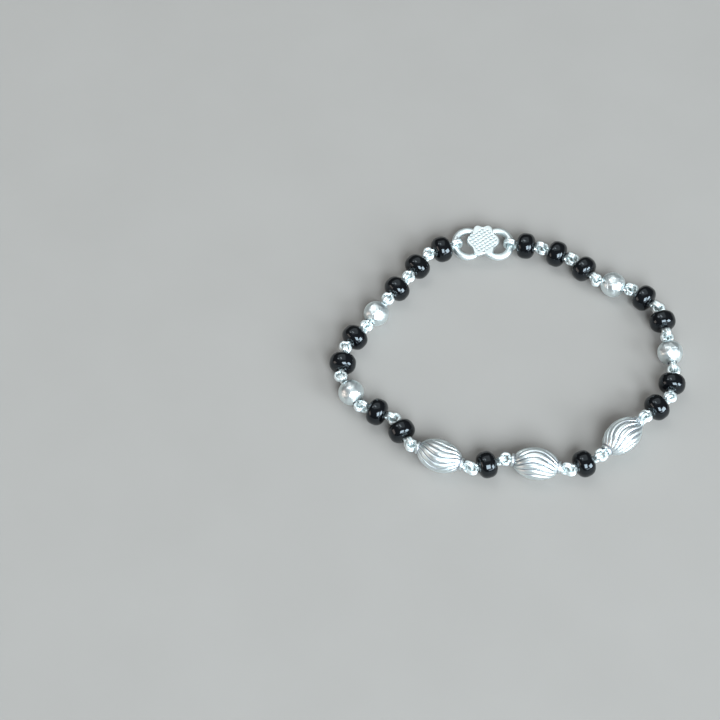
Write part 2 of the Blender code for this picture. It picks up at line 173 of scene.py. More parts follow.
def corners_of(name):
    """The corners of a CAD node, each once."""
    points = np.array([vertex.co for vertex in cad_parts[name].data.vertices], float)
    return np.unique(points.round(7), axis=0)


def middle_of(name):
    low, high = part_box(name)
    return (low + high) / 2


LINKS = sorted(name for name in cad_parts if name.startswith("wire_link_"))
BEADS = sorted(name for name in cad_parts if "bead" in name or "ball" in name)


def line_of(link):
    """The bead on a link, and its place: X runs on along the ring, and Y stays level."""
    points = corners_of(link)
    spread = points - points.mean(axis=0)
    along = Vector(np.linalg.svd(spread, full_matrices=False)[2][0])
    index = LINKS.index(link)
    after = LINKS[(index + 1) % len(LINKS)]
    onward = middle_of(after) - middle_of(LINKS[index - 1])
    if along.dot(onward) < 0:
        along.negate()
    bead = min(BEADS, key=lambda name: (middle_of(name) - middle_of(link)).length)
    level = Vector((0, 0, 1)).cross(along).normalized()
    up = along.cross(level)
    turn = Matrix((along, level, up)).transposed().to_4x4()
    return bead, Matrix.Translation(middle_of(bead)) @ turn


LINES = {link: line_of(link) for link in LINKS}
BEAD_PLACES = dict(LINES.values())


def mesh_of_rings(name, rings, closed):
    """Joins rings of points into one closed mesh, capped at its ends unless it runs round."""
    count, sides = rings.shape[:2]
    faces = []
    for ring in range(count if closed else count - 1):
        here = ring * sides
        there = (ring + 1) % count * sides
        for side in range(sides):
            following = (side + 1) % sides
            faces.append((here + side, here + following, there + following, there + side))
    if not closed:
        faces.append(tuple(range(sides)))
        faces.append(tuple((count - 1) * sides + side for side in range(sides)))
    mesh = bpy.data.meshes.new(name)
    mesh.from_pydata(rings.reshape(-1, 3).tolist(), [], faces)
    work = bmesh.new()
    work.from_mesh(mesh)
    bmesh.ops.recalc_face_normals(work, faces=work.faces)
    work.to_mesh(mesh)
    work.free()
    mesh.shade_smooth()
    return mesh


def ring_angles(sides):
    return np.linspace(0, 2 * math.pi, sides, endpoint=False)


def turned_rings(profile, sides):
    """Rings round X for a profile of places along and radii."""
    angles = ring_angles(sides)
    rings = [
        np.stack([np.full(sides, along), radius * np.sin(angles), radius * np.cos(angles)], axis=1)
        for along, radius in profile
    ]
    return np.array(rings)


def bore_profile(mouth, bore_radius):
    """From the far mouth back through the bore, with a rounded edge at both mouths."""
    edge = MOUTH_EDGE_SHARE * MOUTH_ROUNDING
    return [
        (mouth - edge, bore_radius + edge),
        (mouth - MOUTH_ROUNDING, bore_radius),
        (0.0, bore_radius),
        (-mouth + MOUTH_ROUNDING, bore_radius),
        (-mouth + edge, bore_radius + edge),
    ]


def sink_unevenly(mesh, amount, size, seed):
    """Smooth hand-made unevenness: each point moves in by up to this amount."""
    shift = [(noise.noise(vertex.co / size + seed) - 1) / 2 * amount for vertex in mesh.vertices]
    normals = [vertex.normal.copy() for vertex in mesh.vertices]
    for vertex, normal, distance in zip(mesh.vertices, normals, shift):
        vertex.co += normal * distance


def add_piece(name, mesh, material, replaced):
    """Adds a finished piece that stands for its CAD node."""
    mesh.materials.append(material)
    piece = bpy.data.objects.new(name, mesh)
    bpy.context.scene.collection.objects.link(piece)
    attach(piece, "root")
    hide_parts(replaced)


def black_bead_rings():
    """A barrel whose shoulders are fuller than an ellipse's, with its bore."""
    low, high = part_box("black_bead_02")
    radius = (high.z - low.z) / 2
    bore = BLACK_BORE / 2
    start = math.asin(((bore + MOUTH_ROUNDING) / radius) ** (BLACK_FULLNESS / 2))
    face = math.cos(start) ** (2 / BLACK_FULLNESS)
    profile = []
    for step in range(BLACK_STEPS + 1):
        angle = start + (math.pi - 2 * start) * step / BLACK_STEPS
        lean = math.cos(angle)
        along = math.copysign(abs(lean) ** (2 / BLACK_FULLNESS), -lean) / face
        reach = radius * math.sin(angle) ** (2 / BLACK_FULLNESS)
        profile.append((BLACK_LENGTH / 2 * along, reach))
    return turned_rings(profile + bore_profile(BLACK_LENGTH / 2, bore), BLACK_SIDES)


BLACK_RINGS = black_bead_rings()
BLACK_MATERIAL = black_glass()
for number, node in enumerate(name for name in BEADS if name.startswith("black_bead_")):
    bead_mesh = mesh_of_rings("glass bead", BLACK_RINGS, closed=True)
    seed = Vector((number * BLACK_SEED_STEP, 0, 0))
    sink_unevenly(bead_mesh, BLACK_WAVE, BLACK_WAVE_LENGTH, seed)
    bead_mesh.transform(BEAD_PLACES[node])
    add_piece(f"glass_bead_{number + 1:02d}", bead_mesh, BLACK_MATERIAL, node)


# Silver balls: hollow balls pressed from thin silver sheet and polished. Years of wear have left
# small soft dents and hairlines, and shade is painted on the metal where it turns into the bore.
BALL_DIAMETER = 0.0040
BALL_STEPS = 40
BALL_SIDES = 80
BALL_DENT = 0.000090
BALL_DENT_LENGTH = 0.0011
BALL_SEED_START = 3
BALL_SEED_STEP = 5.1
BALL_SHADE_ROUNDINGS = 3
BRIGHT_SILVER = (0.84, 0.925, 0.935, 1.0)
# The default colour of painted shade in recesses, and of the cloudy stains.
SHADE_AND_STAIN_SILVER = (0.36, 0.39, 0.42, 1.0)
STAIN_CLOUDS = (0.52, 0.80)
STAIN_DARKNESS = 0.28
CLOUD_ROUGHNESS = 0.14
SCRATCH_ROUGHNESS = 0.09
RECESS_ROUGHNESS = 0.20
SCRATCH_HEIGHT = -0.10
RELIEF_STRENGTH = 0.6


def silver_group():
    """Silver that was polished and then worn: cloudy and finely scratched, with painted shade in
    recesses.
    """
    group, given, result = new_group(
        "worn silver with painted shade",
        [
            ("Bright", "NodeSocketColor", BRIGHT_SILVER),
            ("Dark", "NodeSocketColor", SHADE_AND_STAIN_SILVER),
            ("Recess shade", "NodeSocketFloat", 0.0),
            ("Polish", "NodeSocketFloat", 0.12),
            ("Clouds per metre", "NodeSocketFloat", 900.0),
            ("Scratches per metre", "NodeSocketFloat", 1400.0),
        ],
        [
            ("Colour", "NodeSocketColor"),
            ("Roughness", "NodeSocketFloat"),
            ("Height", "NodeSocketFloat"),
        ],
    )
    given = given.outputs
    place = put(group, "ShaderNodeTexCoord").outputs["Object"]
    feeds = {"Vector": place, "Scale": given["Clouds per metre"], "Detail": 3.0, "Roughness": 0.5}
    clouds = put(group, "ShaderNodeTexNoise", feeds).outputs[0]
    feeds = {"Vector": place, "Scale": given["Clouds per metre"], "Detail": 0.6}
    dents = put(group, "ShaderNodeTexNoise", feeds).outputs[0]
    hairlines = put(group, "ShaderNodeGroup", node_tree=HAIRLINES)
    group.links.new(given["Scratches per metre"], hairlines.inputs["Per metre"])
    scratches = hairlines.outputs["Scratch"]
    stain = rescale(group, clouds, STAIN_CLOUDS, (0.0, STAIN_DARKNESS))
    # Painted shade: the recess values darken the silver, on top of the darkness of the cloudy
    # stains.
    feeds = {0: given["Recess shade"], 1: stain}
    darkness = put(group, "ShaderNodeMath", feeds, operation="ADD", use_clamp=True).outputs[0]
    colour = blend(group, darkness, given["Bright"], given["Dark"])
    cloudy = times_plus(group, clouds, CLOUD_ROUGHNESS, given["Polish"])
    scratched = times_plus(group, scratches, SCRATCH_ROUGHNESS, cloudy)
    rough = times_plus(group, darkness, RECESS_ROUGHNESS, scratched)
    height = times_plus(group, scratches, SCRATCH_HEIGHT, dents)
    group.links.new(colour, result.inputs["Colour"])
    group.links.new(rough, result.inputs["Roughness"])
    group.links.new(height, result.inputs["Height"])
    return group


WORN_AND_SHADED_SILVER = silver_group()


def silver(name, polish, clouds, scratches, relief, dark=SHADE_AND_STAIN_SILVER):
    """A silver finish; where the mesh has recess values, painted shade darkens it there."""
    material = bpy.data.materials.new(name)
    material.use_nodes = True
    tree = material.node_tree
    shader = tree.nodes["Principled BSDF"]
    recess_shade = put(tree, "ShaderNodeAttribute", attribute_name="recess_shade")
    worn = put(tree, "ShaderNodeGroup", node_tree=WORN_AND_SHADED_SILVER)
    for label, value in (
        ("Bright", BRIGHT_SILVER),
        ("Dark", dark),
        ("Polish", polish),
        ("Clouds per metre", clouds),
        ("Scratches per metre", scratches),
    ):
        worn.inputs[label].default_value = value
    tree.links.new(recess_shade.outputs["Fac"], worn.inputs["Recess shade"])
    feeds = {"Height": worn.outputs["Height"], "Distance": relief, "Strength": RELIEF_STRENGTH}
    bump = put(tree, "ShaderNodeBump", feeds)
    tree.links.new(worn.outputs["Colour"], shader.inputs["Base Color"])
    tree.links.new(worn.outputs["Roughness"], shader.inputs["Roughness"])
    tree.links.new(bump.outputs[0], shader.inputs["Normal"])
    shader.inputs["Metallic"].default_value = 1.0
    return material


def mark_painted_shade(mesh, values):
    """Stores the painted shade of each point, from 0 on the open surface to 1 in a recess."""
    recess_shade = mesh.attributes.new("recess_shade", "FLOAT", "POINT")
    recess_shade.data.foreach_set("value", np.clip(values, 0, 1).astype(np.float32))


def ball_rings():
    """A round ball with its bore."""
    radius = BALL_DIAMETER / 2
    bore = BLACK_BORE / 2
    start = math.asin((bore + MOUTH_ROUNDING) / radius)
    mouth = radius * math.cos(start)
    profile = []
    for step in range(BALL_STEPS + 1):
        angle = start + (math.pi - 2 * start) * step / BALL_STEPS
        profile.append((-radius * math.cos(angle), radius * math.sin(angle)))
    return turned_rings(profile + bore_profile(mouth, bore), BALL_SIDES)


BALL_RINGS = ball_rings()
BALL_SILVER = silver(
    "ball silver",
    polish=0.27,
    clouds=1150.0,
    scratches=1100.0,
    relief=0.000300,
)
for number, node in enumerate(name for name in BEADS if name.startswith("silver_ball_")):
    ball_mesh = mesh_of_rings("silver ball", BALL_RINGS, closed=True)
    seed = Vector((0, number * BALL_SEED_STEP + BALL_SEED_START, 0))
    sink_unevenly(ball_mesh, BALL_DENT, BALL_DENT_LENGTH, seed)
    # Painted shade: the recess values darken the metal where it turns into the bore.
    reach = np.hypot(BALL_RINGS[..., 1], BALL_RINGS[..., 2]).ravel()
    shade_width = BALL_SHADE_ROUNDINGS * MOUTH_ROUNDING
    mark_painted_shade(ball_mesh, 1 - (reach - BLACK_BORE / 2) / shade_width)
    ball_mesh.transform(BEAD_PLACES[node])
    add_piece(f"pressed_ball_{number + 1}", ball_mesh, BALL_SILVER, node)


# Fluted beads: hollow ovals of silver sheet, pressed into fourteen round ribs that bow from one
# collar to the other. The ribs are bright silver, and shade is painted into the narrow valleys
# between them, at the ribs' feet by the collars and on the collars.
FLUTED_DIAMETER = 0.00488
FLUTED_LENGTH = 0.00744
FLUTED_WAVE = 0.000040
FLUTED_WAVE_LENGTH = 0.0014
FLUTED_SEED_START = 2
FLUTED_SEED_STEP = 4.7
COLLAR_DIAMETER = 0.00194
COLLAR_LENGTH = 0.00045
COLLAR_ROUNDING = 0.00010
RIB_COUNT = 14
RIB_STEPS = 14
RIB_DEPTH = 0.00028
RIB_RISE = 1.6
RIB_BOW = math.radians(-41)
RIB_SHARP_ANGLE = math.radians(75)
# Painted shade in the valleys between the ribs, and at the ribs' feet by the collars.
VALLEY_START = 0.45
VALLEY_WIDTH = 0.42
VALLEY_SHADE = 0.95
FOOT_SHADE = 0.5
FOOT_RISE = 8
FLUTED_STEPS = 88
BOWED_OUT = ("fluted_bead_3",)


def collar_profile():
    """The left collar from its bore out to the body: along, radius and the shade painted there."""
    end = FLUTED_LENGTH / 2
    body_end = end - COLLAR_LENGTH
    collar = COLLAR_DIAMETER / 2
    bore = BLACK_BORE / 2
    smooth = COLLAR_ROUNDING
    edge = MOUTH_EDGE_SHARE * smooth
    return [
        (-end + edge, bore, 0.9),
        (-end, bore + 0.4 * smooth, 0.5),
        (-end, collar - smooth, 0.1),
        (-end + edge, collar - edge, 0.0),
        (-end + smooth, collar, 0.0),
        (-body_end - smooth, collar, 0.2),
        (-body_end, collar - edge, 0.9),
    ]


def fluted_shape(bow):
    """Rings of the ribbed body and its collars, and the shade painted on each point: in the
    valleys, at the ribs' feet, on the collars and in the bore.
    """
    body_end = FLUTED_LENGTH / 2 - COLLAR_LENGTH
    collar = COLLAR_DIAMETER / 2
    full = FLUTED_DIAMETER / 2
    half_length = body_end / math.sqrt(1 - (collar / full) ** 2)
    steps = np.arange(RIB_COUNT * RIB_STEPS)
    across = (steps % RIB_STEPS) / RIB_STEPS * 2 - 1
    within = np.sin(across * math.pi / 2)
    centres = 2 * math.pi * (steps // RIB_STEPS) / RIB_COUNT
    angles = centres + within * math.pi / RIB_COUNT
    sink = 1 - np.cos(across * math.pi / 2)
    plain = np.zeros(len(steps))
    rings = []
    valley_shades = []

    def add_ring(along, radius, depth, turn, valley_shade):
        reach = radius - depth * sink
        y = reach * np.sin(angles + turn)
        z = reach * np.cos(angles + turn)
        rings.append(np.stack([np.full(len(steps), along), y, z], axis=1))
        valley_shades.append(valley_shade)

    for along, radius, dark in collar_profile():
        add_ring(along, radius, 0, 0, plain + dark)
    for step in range(1, FLUTED_STEPS):
        along = -body_end * math.cos(math.pi * step / FLUTED_STEPS)
        share = along / body_end
        radius = full * math.sqrt(1 - (along / half_length) ** 2)
        lift = (radius - collar) / (full - collar)
        depth = RIB_DEPTH * min(1.0, lift * RIB_RISE)
        # Painted shade: darker towards the bottom of each valley and where the ribs meet the
        # collars.
        valley_shade = np.clip((sink - VALLEY_START) / VALLEY_WIDTH, 0, 1) * VALLEY_SHADE
        valley_shade = valley_shade + FOOT_SHADE * (1 - min(1.0, lift * FOOT_RISE))
        add_ring(along, radius, depth, bow * (1 - share**2), valley_shade)
    for along, radius, dark in reversed(collar_profile()):
        add_ring(-along, radius, 0, 0, plain + dark)
    add_ring(0, BLACK_BORE / 2, 0, 0, plain + 1)
    return np.array(rings), np.concatenate(valley_shades)


# Its dark colour is painted shade in the valleys, at the collars and in the bore, and also tints
# the cloudy stains.
FLUTED_SILVER = silver(
    "fluted silver",
    polish=0.27,
    clouds=700.0,
    scratches=1100.0,
    relief=0.000016,
    dark=(0.16, 0.155, 0.22, 1.0),
)
for number, node in enumerate(name for name in BEADS if name.startswith("fluted_bead_")):
    rib_rings, rib_valley_shades = fluted_shape(-RIB_BOW if node in BOWED_OUT else RIB_BOW)
    rib_mesh = mesh_of_rings("ribbed bead", rib_rings, closed=True)
    seed = Vector((0, 0, number * FLUTED_SEED_STEP + FLUTED_SEED_START))
    sink_unevenly(rib_mesh, FLUTED_WAVE, FLUTED_WAVE_LENGTH, seed)
    mark_painted_shade(rib_mesh, rib_valley_shades)
    rib_mesh.set_sharp_from_angle(angle=RIB_SHARP_ANGLE)
    rib_mesh.transform(BEAD_PLACES[node])
    add_piece(f"ribbed_bead_{number + 1}", rib_mesh, FLUTED_SILVER, node)


# Wire links: thin silver wire, doubled, pushed through each bead and bent by hand to an eye at
# both ends, so that two strands lie side by side. Each eye is hooked through the next one.
WIRE_DIAMETER = 0.00040
STRAND_SHARE = 0.57
LEG_GAP = 0.00006
EYE_SQUEEZE = 0.0001
# Half an eye, from the bead's mouth to the tip: share of the length, share of the half width.
EYE_POINTS = [
    (0.06, 0.05),
    (0.22, 0.56),
    (0.36, 0.96),
    (0.72, 1.00),
    (0.91, 0.62),
    (1.00, 0.10),
]
CLASP_EYE_POINTS = [
    (0.05, 0.05),
    (0.17, 0.52),
    (0.30, 0.98),
    (0.70, 1.00),
    (0.92, 0.60),
    (1.00, 0.06),
]
WIRE_SIDES = 12
WIRE_STEPS = 6
HAND_BEND = 0.000022
HAND_BENDS_PER_METRE = 900
LINK_SEED_STEP = 3.1
STRAND_SEED_STEP = 2.7
SEAM_SHADE = 2.2
SEAM_START = 1.5
BEAD_MOUTHS = {"black": 0.001475, "silver": 0.001898, "fluted": 0.00372}


def smooth_loop(points, steps, closed):
    """More points on a smooth curve that passes through the given ones."""
    points = np.array(points, float)
    count = len(points)
    last = count if closed else count - 1
    found = []
    for index in range(last):
        around = [index + shift for shift in (-1, 0, 1, 2)]
        if closed:
            before, start, end, after = (points[place % count] for place in around)
        else:
            before, start, end, after = (points[min(max(place, 0), count - 1)] for place in around)
        for step in range(steps):
            t = step / steps
            slope = (end - before) * t
            bend = (2 * before - 5 * start + 4 * end - after) * t**2
            twist = (3 * start - before - 3 * end + after) * t**3
            found.append(0.5 * (2 * start + slope + bend + twist))
    if not closed:
        found.append(points[-1])
    return np.array(found)


def eye_sizes(points, mouth, side):
    """From a link's corners on one side of its bead: the tip, the half width and the roll."""
    eye = points[points[:, 0] * side > mouth + WIRE_DIAMETER / 2]
    tip = np.abs(eye[:, 0]).max()
    around = np.linalg.svd(eye[:, 1:], full_matrices=False)[2][0]
    if around[0] < 0:
        around = -around
    widest = np.abs(eye[:, 1:] @ around).max() - EYE_SQUEEZE
    return tip, widest, math.atan2(around[1], around[0])


def strand_curve(points, mouth, shapes):
    """Points along, across and roll of the band's middle line, all the way round."""
    leg = (WIRE_DIAMETER + LEG_GAP) / 2
    ends = []
    for side, shape in zip((-1, 1), shapes):
        tip, widest, roll = eye_sizes(points, mouth, side)
        length = tip - WIRE_DIAMETER / 2 - mouth
        widest_share = max(share for _, share in shape)
        spread = (widest - WIRE_DIAMETER / 2 - leg) / widest_share
        ends.append(
            [(side * (mouth + length * far), leg + spread * share, roll) for far, share in shape]
        )
    first, last = ends
    roll_change = last[0][2] - first[0][2]
    if abs(roll_change) > math.pi / 2:
        half_turn = math.copysign(math.pi, roll_change)
        last = [(along, -across, roll - half_turn) for along, across, roll in last]
    between = [
        (
            first[0][0] + (last[0][0] - first[0][0]) * share,
            leg,
            first[0][2] + (last[0][2] - first[0][2]) * share,
        )
        for share in (1 / 3, 2 / 3)
    ]
    one_leg = [*reversed(first), *between, *last]
    other_leg = [(along, -across, roll) for along, across, roll in reversed(one_leg)]
    return smooth_loop(one_leg + other_leg, WIRE_STEPS, closed=True)


def strand_rings(curve, side, seed):
    """One round strand of the doubled wire, beside the band's middle line, and the shade painted
    where it lies against the other strand.
    """
    along, across, roll = curve.T
    middle = np.stack([along, across * np.cos(roll), across * np.sin(roll)], axis=1)
    beside = np.stack([np.zeros(len(roll)), -np.sin(roll), np.cos(roll)], axis=1)
    tangent = np.roll(middle, -1, axis=0) - np.roll(middle, 1, axis=0)
    tangent /= np.linalg.norm(tangent, axis=1)[:, None]
    beside -= tangent * np.sum(beside * tangent, axis=1)[:, None]
    beside /= np.linalg.norm(beside, axis=1)[:, None]
    outward = np.cross(tangent, beside)
    radius = WIRE_DIAMETER * STRAND_SHARE
    bends = [noise.noise(Vector(point) * HAND_BENDS_PER_METRE + seed) for point in middle]
    sway = np.array(bends)[:, None] * HAND_BEND
    centre = middle + beside * side * WIRE_DIAMETER / 2 + outward * sway
    angles = ring_angles(WIRE_SIDES)
    rings = (
        centre[:, None, :]
        + radius * np.cos(angles)[None, :, None] * beside[:, None, :]
        + radius * np.sin(angles)[None, :, None] * outward[:, None, :]
    )
    # Painted shade where the two strands of the doubled wire lie against each other.
    seam_shade = np.clip(-side * np.cos(angles) * SEAM_SHADE - SEAM_START, 0, 1)
    return rings, np.tile(seam_shade, len(centre))


def join_meshes(name, meshes):
    """One mesh out of several, with their recess shade values."""
    joined = bmesh.new()
    for mesh in meshes:
        joined.from_mesh(mesh)
        bpy.data.meshes.remove(mesh)
    whole = bpy.data.meshes.new(name)
    joined.to_mesh(whole)
    joined.free()
    return whole


# Its dark colour is painted shade between the strands, and also tints the cloudy stains.
WIRE_SILVER = silver(
    "wire silver",
    polish=0.40,
    clouds=1300.0,
    scratches=2200.0,
    relief=0.000014,
    dark=(0.58, 0.64, 0.66, 1.0),
)
for number, link in enumerate(LINKS):
    bead, place = LINES[link]
    mouth = BEAD_MOUTHS[bead.split("_")[0]]
    local = np.array([place.inverted() @ Vector(point) for point in corners_of(link)])
    middle = local.mean(axis=0) * (0, 1, 1)
    local -= middle
    eye_shapes = [
        CLASP_EYE_POINTS if number == 0 else EYE_POINTS,
        CLASP_EYE_POINTS if number == len(LINKS) - 1 else EYE_POINTS,
    ]
    curve = strand_curve(local, mouth, eye_shapes)
    strands = []
    for side in (-1, 1):
        seed = Vector((number * LINK_SEED_STEP, side * STRAND_SEED_STEP, 0))
        wire_rings, wire_seam_shade = strand_rings(curve, side, seed)
        strand = mesh_of_rings("strand", wire_rings, closed=True)
        mark_painted_shade(strand, wire_seam_shade)
        strands.append(strand)
    link_mesh = join_meshes("wire link", strands)
    link_mesh.transform(place @ Matrix.Translation(middle))
    add_piece(f"link_{number + 1:02d}", link_mesh, WIRE_SILVER, link)


# Clasp: a flat S hook bent from thick round silver wire with rounded ends. A six-lobed plate is
# soldered on the middle of the S, and its top carries a diagonal hatch of punched pits.
CLASP_LOW, CLASP_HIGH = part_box("clasp")
HOOK_WIRE = 0.0011
HOOK_LENGTH = 0.00995
HOOK_WIDTH = 0.0061
HOOK_NECK = 0.00054
HOOK_TURN = math.radians(-152)
HOOK_TIP_SHARE = 0.6
HOOK_TIP_GAP = 0.00014
HOOK_TIP_FROM = 165
HOOK_TIP_TO = 60
HOOK_TAPER_STEPS = 3
HOOK_POINTS = 12
HOOK_STEPS = 6
HOOK_SIDES = 32
TIP_STEPS = 6
TIP_LEAN = math.radians(14)
TIP_LENGTH_SHARE = 0.55
# A quarter of the plate's outline: degrees from its long lobe, and how far the rim reaches there.
PLATE_KNOTS = [(0, 0.00256), (36, 0.0022), (70, 0.00292), (90, 0.0025)]
PLATE_THICKNESS = 0.0006
PLATE_ROUNDING = 0.00016
PLATE_ROUNDING_STEPS = 6
PLATE_CLEARANCE = 0.00012
PLATE_SIDES = 432
PLATE_RINGS = 96
UNDERSIDE_SHARES = (0.02, 0.5, 0.94)
UNDERSIDE_SHADE = 0.3
LOWER_EDGE_INSET = 0.00003
LOWER_EDGE_RISE = 0.00004
PIT_SPACING = 0.00056
PIT_SIZE = 0.00036
PIT_STRETCH = 1.1
PIT_DEPTH = 0.00008
PIT_SQUARENESS = 4
PIT_FIELD_RADIUS = 0.00214
HATCH_TURN = math.radians(35)
HATCH_DEPTH_SHARE = 0.12
SOLDER_LENGTH = 0.0018
SOLDER_WIDTH = 0.0008
SOLDER_FLARE = 0.35
SOLDER_INTO_WIRE = 0.0003
SOLDER_INTO_PLATE = 0.0001
SOLDER_STEPS = 8
SOLDER_SIDES = 48
CLASP_SHARP_ANGLE = math.radians(60)


def loop_point(angle):
    """A point on the middle line of one loop of the S."""
    far_end = (HOOK_LENGTH - HOOK_WIRE) / 2
    centre = (far_end + HOOK_NECK / 2) / 2
    across = (HOOK_WIDTH - HOOK_WIRE) / 2
    return Vector((centre + (far_end - centre) * math.cos(angle), across * math.sin(angle), 0))


def hook_end_angle():
    """Where the loop stops, so that its tip stays clear of the middle of the S."""
    middle = loop_point(HOOK_TURN).normalized()
    needed = HOOK_WIRE / 2 * (1 + HOOK_TIP_SHARE) + HOOK_TIP_GAP
    for degrees in range(HOOK_TIP_FROM, HOOK_TIP_TO, -1):
        if loop_point(math.radians(degrees)).cross(middle).length >= needed:
            break
    return math.radians(degrees)


def hook_curve():
    """The S from tip to tip: points, and the share of the wire's full size at each."""
    end = hook_end_angle()
    half = []
    for step in range(HOOK_POINTS + 1):
        spot = loop_point(end + (HOOK_TURN - end) * step / HOOK_POINTS)
        share = min(1.0, HOOK_TIP_SHARE + (1 - HOOK_TIP_SHARE) * step / HOOK_TAPER_STEPS)
        half.append((spot.x, spot.y, share))
    far_half = [(-x, -y, share) for x, y, share in reversed(half)]
    return smooth_loop([*half, (0.0, 0.0, 1.0), *far_half], HOOK_STEPS, closed=False)


def hook_mesh():
    """The hook's round wire, with a rounded end at both tips."""
    curve = hook_curve()
    headings = np.gradient(curve[:, :2], axis=0)
    headings /= np.linalg.norm(headings, axis=1)[:, None]
    angles = ring_angles(HOOK_SIDES)
    full = HOOK_WIRE / 2
    rings = []

    def add_ring(x, y, heading, radius):
        sideways = np.array((-heading[1], heading[0], 0.0))
        across = np.cos(angles)[:, None] * sideways
        up = np.sin(angles)[:, None] * np.array((0, 0, 1.0))
        rings.append(np.array((x, y, 0.0)) + radius * (across + up))

    def add_tip(spot, heading, outward, steps):
        x, y, share = spot
        for step in steps:
            lean = TIP_LEAN * step
            reach = outward * TIP_LENGTH_SHARE * full * share * math.sin(lean)
            radius = full * share * math.cos(lean)
            add_ring(x + heading[0] * reach, y + heading[1] * reach, heading, radius)

    tip_steps = range(1, TIP_STEPS + 1)
    add_tip(curve[0], headings[0], -1, reversed(tip_steps))
    for (x, y, share), heading in zip(curve, headings):
        add_ring(x, y, heading, full * share)
    add_tip(curve[-1], headings[-1], 1, tip_steps)
    mesh = mesh_of_rings("hook", np.array(rings), closed=False)
    reach = max(abs(vertex.co.y) for vertex in mesh.vertices)
    mesh.transform(Matrix.Scale((CLASP_HIGH.y - CLASP_LOW.y) / 2 / reach, 4, (0, 1, 0)))
    return mesh


def plate_reach(angles):
    """From the plate's middle to its rim: a quarter of the outline, mirrored to the others."""
    quarter = np.degrees(math.pi / 2 - np.abs(np.mod(angles, math.pi) - math.pi / 2))
    reach = np.zeros_like(quarter)
    for (start, start_reach), (end, end_reach) in zip(PLATE_KNOTS, PLATE_KNOTS[1:]):
        ease = (1 - np.cos(math.pi * (quarter - start) / (end - start))) / 2
        between = (quarter >= start) & (quarter <= end)
        reach = np.where(between, start_reach + (end_reach - start_reach) * ease, reach)
    return reach


def pit_depths(x, y):
    """How deep the hatch is on the plate: square pits, joined one way by faint grooves."""
    along = x * math.cos(HATCH_TURN) + y * math.sin(HATCH_TURN)
    across = y * math.cos(HATCH_TURN) - x * math.sin(HATCH_TURN)
    column = np.round(along / PIT_SPACING)
    row = np.round(across / PIT_SPACING)
    inside = np.hypot(column, row) * PIT_SPACING <= PIT_FIELD_RADIUS
    near_along = np.abs(along - column * PIT_SPACING) / (PIT_SIZE * PIT_STRETCH / 2)
    near_across = np.abs(across - row * PIT_SPACING) / (PIT_SIZE / 2)
    near = (near_along**PIT_SQUARENESS + near_across**PIT_SQUARENESS) ** (1 / PIT_SQUARENESS)
    pit = np.clip(1 - near, 0, 1)
    pit = pit * (2 - pit)
    groove = np.clip(1 - near_across, 0, 1) * HATCH_DEPTH_SHARE
    return np.where(inside, np.maximum(pit, groove), 0.0)


def plate_mesh():
    """The lobed plate from under its middle, round the rim and to the middle of its top, with
    shade painted underneath and in the pits.
    """
    angles = ring_angles(PLATE_SIDES)
    rim = plate_reach(angles)
    low = HOOK_WIRE / 2 + PLATE_CLEARANCE
    top = low + PLATE_THICKNESS
    rings = []
    depths = []

    def add_ring(reach, height, depth):
        rings.append(np.stack([reach * np.cos(angles), reach * np.sin(angles), height], axis=1))
        depths.append(depth)

    flat = np.zeros(PLATE_SIDES)
    for share in UNDERSIDE_SHARES:
        add_ring(rim * share, flat + low, flat + UNDERSIDE_SHADE)
    add_ring(rim - LOWER_EDGE_INSET, flat + low, flat)
    add_ring(rim, flat + low + LOWER_EDGE_RISE, flat)
    for step in range(PLATE_ROUNDING_STEPS + 1):
        lean = math.pi / 2 * step / PLATE_ROUNDING_STEPS
        inset = PLATE_ROUNDING * (1 - math.cos(lean))
        rise = PLATE_ROUNDING * (1 - math.sin(lean))
        add_ring(rim - inset, flat + top - rise, flat)
    inner = rim - PLATE_ROUNDING
    for step in range(1, PLATE_RINGS):
        reach = inner * (1 - step / PLATE_RINGS)
        depth = pit_depths(reach * np.cos(angles), reach * np.sin(angles))
        add_ring(reach, top - PIT_DEPTH * depth, depth)
    mesh = mesh_of_rings("plate", np.array(rings), closed=False)
    # Painted shade: the recess values darken the plate's underside and the pits of the hatch.
    mark_painted_shade(mesh, np.concatenate(depths))
    return mesh


def solder_mesh(diagonal):
    """A smooth pool of solder between the wire and the plate."""
    low = HOOK_WIRE / 2 - SOLDER_INTO_WIRE
    high = HOOK_WIRE / 2 + PLATE_CLEARANCE + SOLDER_INTO_PLATE
    angles = ring_angles(SOLDER_SIDES)
    middle_step = SOLDER_STEPS / 2
    rings = []
    for step in range(SOLDER_STEPS + 1):
        height = low + (high - low) * step / SOLDER_STEPS
        waist = 1.0 + SOLDER_FLARE * (abs(step - middle_step) / middle_step) ** 2
        x = SOLDER_LENGTH / 2 * waist * np.cos(angles)
        y = SOLDER_WIDTH / 2 * waist * np.sin(angles)
        rings.append(np.stack([x, y, np.full(SOLDER_SIDES, height)], axis=1))
    mesh = mesh_of_rings("solder", np.array(rings), closed=False)
    mesh.transform(Matrix.Rotation(math.atan2(diagonal.y, diagonal.x), 4, "Z"))
    return mesh


CLASP_MIDDLE = (CLASP_LOW + CLASP_HIGH) / 2
CLASP_PLACE = Matrix.Translation((CLASP_MIDDLE.x, CLASP_MIDDLE.y, CLASP_LOW.z + HOOK_WIRE / 2))
HOOK_SILVER = silver(
    "hook silver",
    polish=0.37,
    clouds=600.0,
    scratches=900.0,
    relief=0.000030,
)
